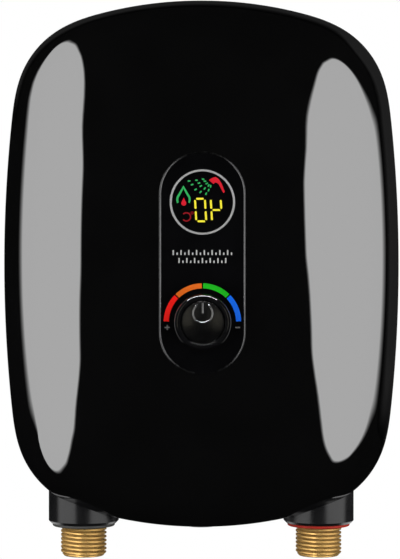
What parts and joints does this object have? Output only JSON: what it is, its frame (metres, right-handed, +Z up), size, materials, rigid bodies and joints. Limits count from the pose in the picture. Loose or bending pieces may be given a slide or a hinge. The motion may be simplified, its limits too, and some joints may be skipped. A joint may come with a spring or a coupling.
{
  "type": "tankless electric water heater",
  "caption": "Wall-hung tankless electric water heater: domed gloss black casing, stadium control panel with lit display, temperature knob with power button, brass pipe unions below",
  "frame": {"origin": "middle of the casing's outline, on the wall face", "axes": "+X to the right seen from the front, +Y into the wall, +Z up; the front faces -Y"},
  "size_m": [0.18, 0.0793, 0.254],
  "materials": {
    "casing_black": "moulded gloss black",
    "cover_black": "high-gloss piano black",
    "seal_rubber": "matte black rubber",
    "screw_steel": "zinc-plated steel",
    "grommet_rubber": "matte black rubber",
    "panel_black": "gloss black printed plate",
    "trim_silver": "satin silver line",
    "print_white": "screen-printed white",
    "ring_silver": "satin silver ring",
    "window_black": "tinted gloss window",
    "lit_yellow": "lit yellow segments",
    "lit_green": "lit green pictograms",
    "lit_red": "lit red pictograms",
    "print_red": "printed red segment",
    "print_orange": "printed orange segment",
    "print_green": "printed green segment",
    "print_blue": "printed blue segment",
    "knob_black": "black-chrome plated plastic",
    "button_black": "gloss black",
    "symbol_silver": "silver print",
    "device_black": "moulded black",
    "white_plastic": "moulded off-white",
    "board_green": "lacquered circuit board",
    "union_brass": "machined brass",
    "ring_grey": "moulded grey",
    "ring_red": "moulded red",
    "tank_steel": "drawn stainless steel",
    "rotor_blue": "moulded blue",
    "pipe_copper": "drawn copper",
    "seal_red": "silicone rubber",
    "element_steel": "sheathed heating tube",
    "terminal_ceramic": "unglazed ceramic",
    "reset_red": "moulded red",
    "relay_blue": "moulded blue",
    "transformer_brown": "varnished laminations",
    "can_blue": "sleeved can",
    "lead_brown": "wire insulation",
    "lead_red": "wire insulation",
    "lead_green": "wire insulation",
    "ribbon_grey": "flat ribbon"
  },
  "bodies": {
    "casing": {"rear_housing": "casing_black", "front_cover": "cover_black", "casing_seal": "seal_rubber", "cover_screws": "screw_steel", "cable_grommet": "grommet_rubber", "control_panel": "panel_black", "panel_trim": "trim_silver", "panel_marks": "print_white", "display_ring": "ring_silver", "display_window": "window_black", "display_digits": "lit_yellow", "display_green": "lit_green", "display_red": "lit_red", "scale_red": "print_red", "scale_orange": "print_orange", "scale_green": "print_green", "scale_blue": "print_blue", "potentiometer": "device_black", "power_switch": "device_black", "display_module": "white_plastic", "display_board": "board_green", "board_screws": "screw_steel", "inlet_union": "union_brass", "outlet_union": "union_brass", "inlet_ring": "ring_grey", "outlet_ring": "ring_red", "inlet_filter": "tank_steel", "flow_sensor": "white_plastic", "rotor_axle": "screw_steel", "flow_pickup": "device_black", "inlet_pipe": "pipe_copper", "outlet_pipe": "pipe_copper", "heating_tank": "tank_steel", "flange_seal": "seal_red", "element_flange": "union_brass", "flange_screws": "screw_steel", "heating_elements": "element_steel", "element_terminals": "terminal_ceramic", "thermal_cutout": "terminal_ceramic", "temperature_sensor": "device_black", "triac": "device_black", "main_board": "board_green", "relay": "relay_blue", "transformer": "transformer_brown", "capacitors": "can_blue", "terminal_block": "white_plastic", "terminal_screws": "union_brass", "mains_leads": "lead_brown", "element_leads": "lead_red", "earth_lead": "lead_green", "display_ribbon": "ribbon_grey"},
    "temperature_knob": {"temperature_knob": "knob_black", "knob_clip": "screw_steel"},
    "power_button": {"power_button": "button_black", "power_symbol": "symbol_silver"},
    "flow_rotor": {"flow_rotor": "rotor_blue"},
    "reset_pin": {"reset_pin": "reset_red"}
  },
  "joints": [
    {"name": "knob_turn", "type": "hinge", "parent": "casing", "child": "temperature_knob", "pos_m": [0, -0.0673, -0.0258], "axis": [0, -1, 0], "range_deg": [-90, 90]},
    {"name": "power_press", "type": "slide", "parent": "casing", "child": "power_button", "axis": [0, 1, 0], "range_m": [0, 0.0015], "stiffness_N_per_m": 600},
    {"name": "rotor_spin", "type": "hinge", "parent": "casing", "child": "flow_rotor", "pos_m": [-0.054, -0.022, -0.07885], "axis": [0, 0, 1], "continuous": true},
    {"name": "reset_press", "type": "slide", "parent": "casing", "child": "reset_pin", "axis": [0, 1, 0], "range_m": [0, 0.0015], "stiffness_N_per_m": 800}
  ]
}
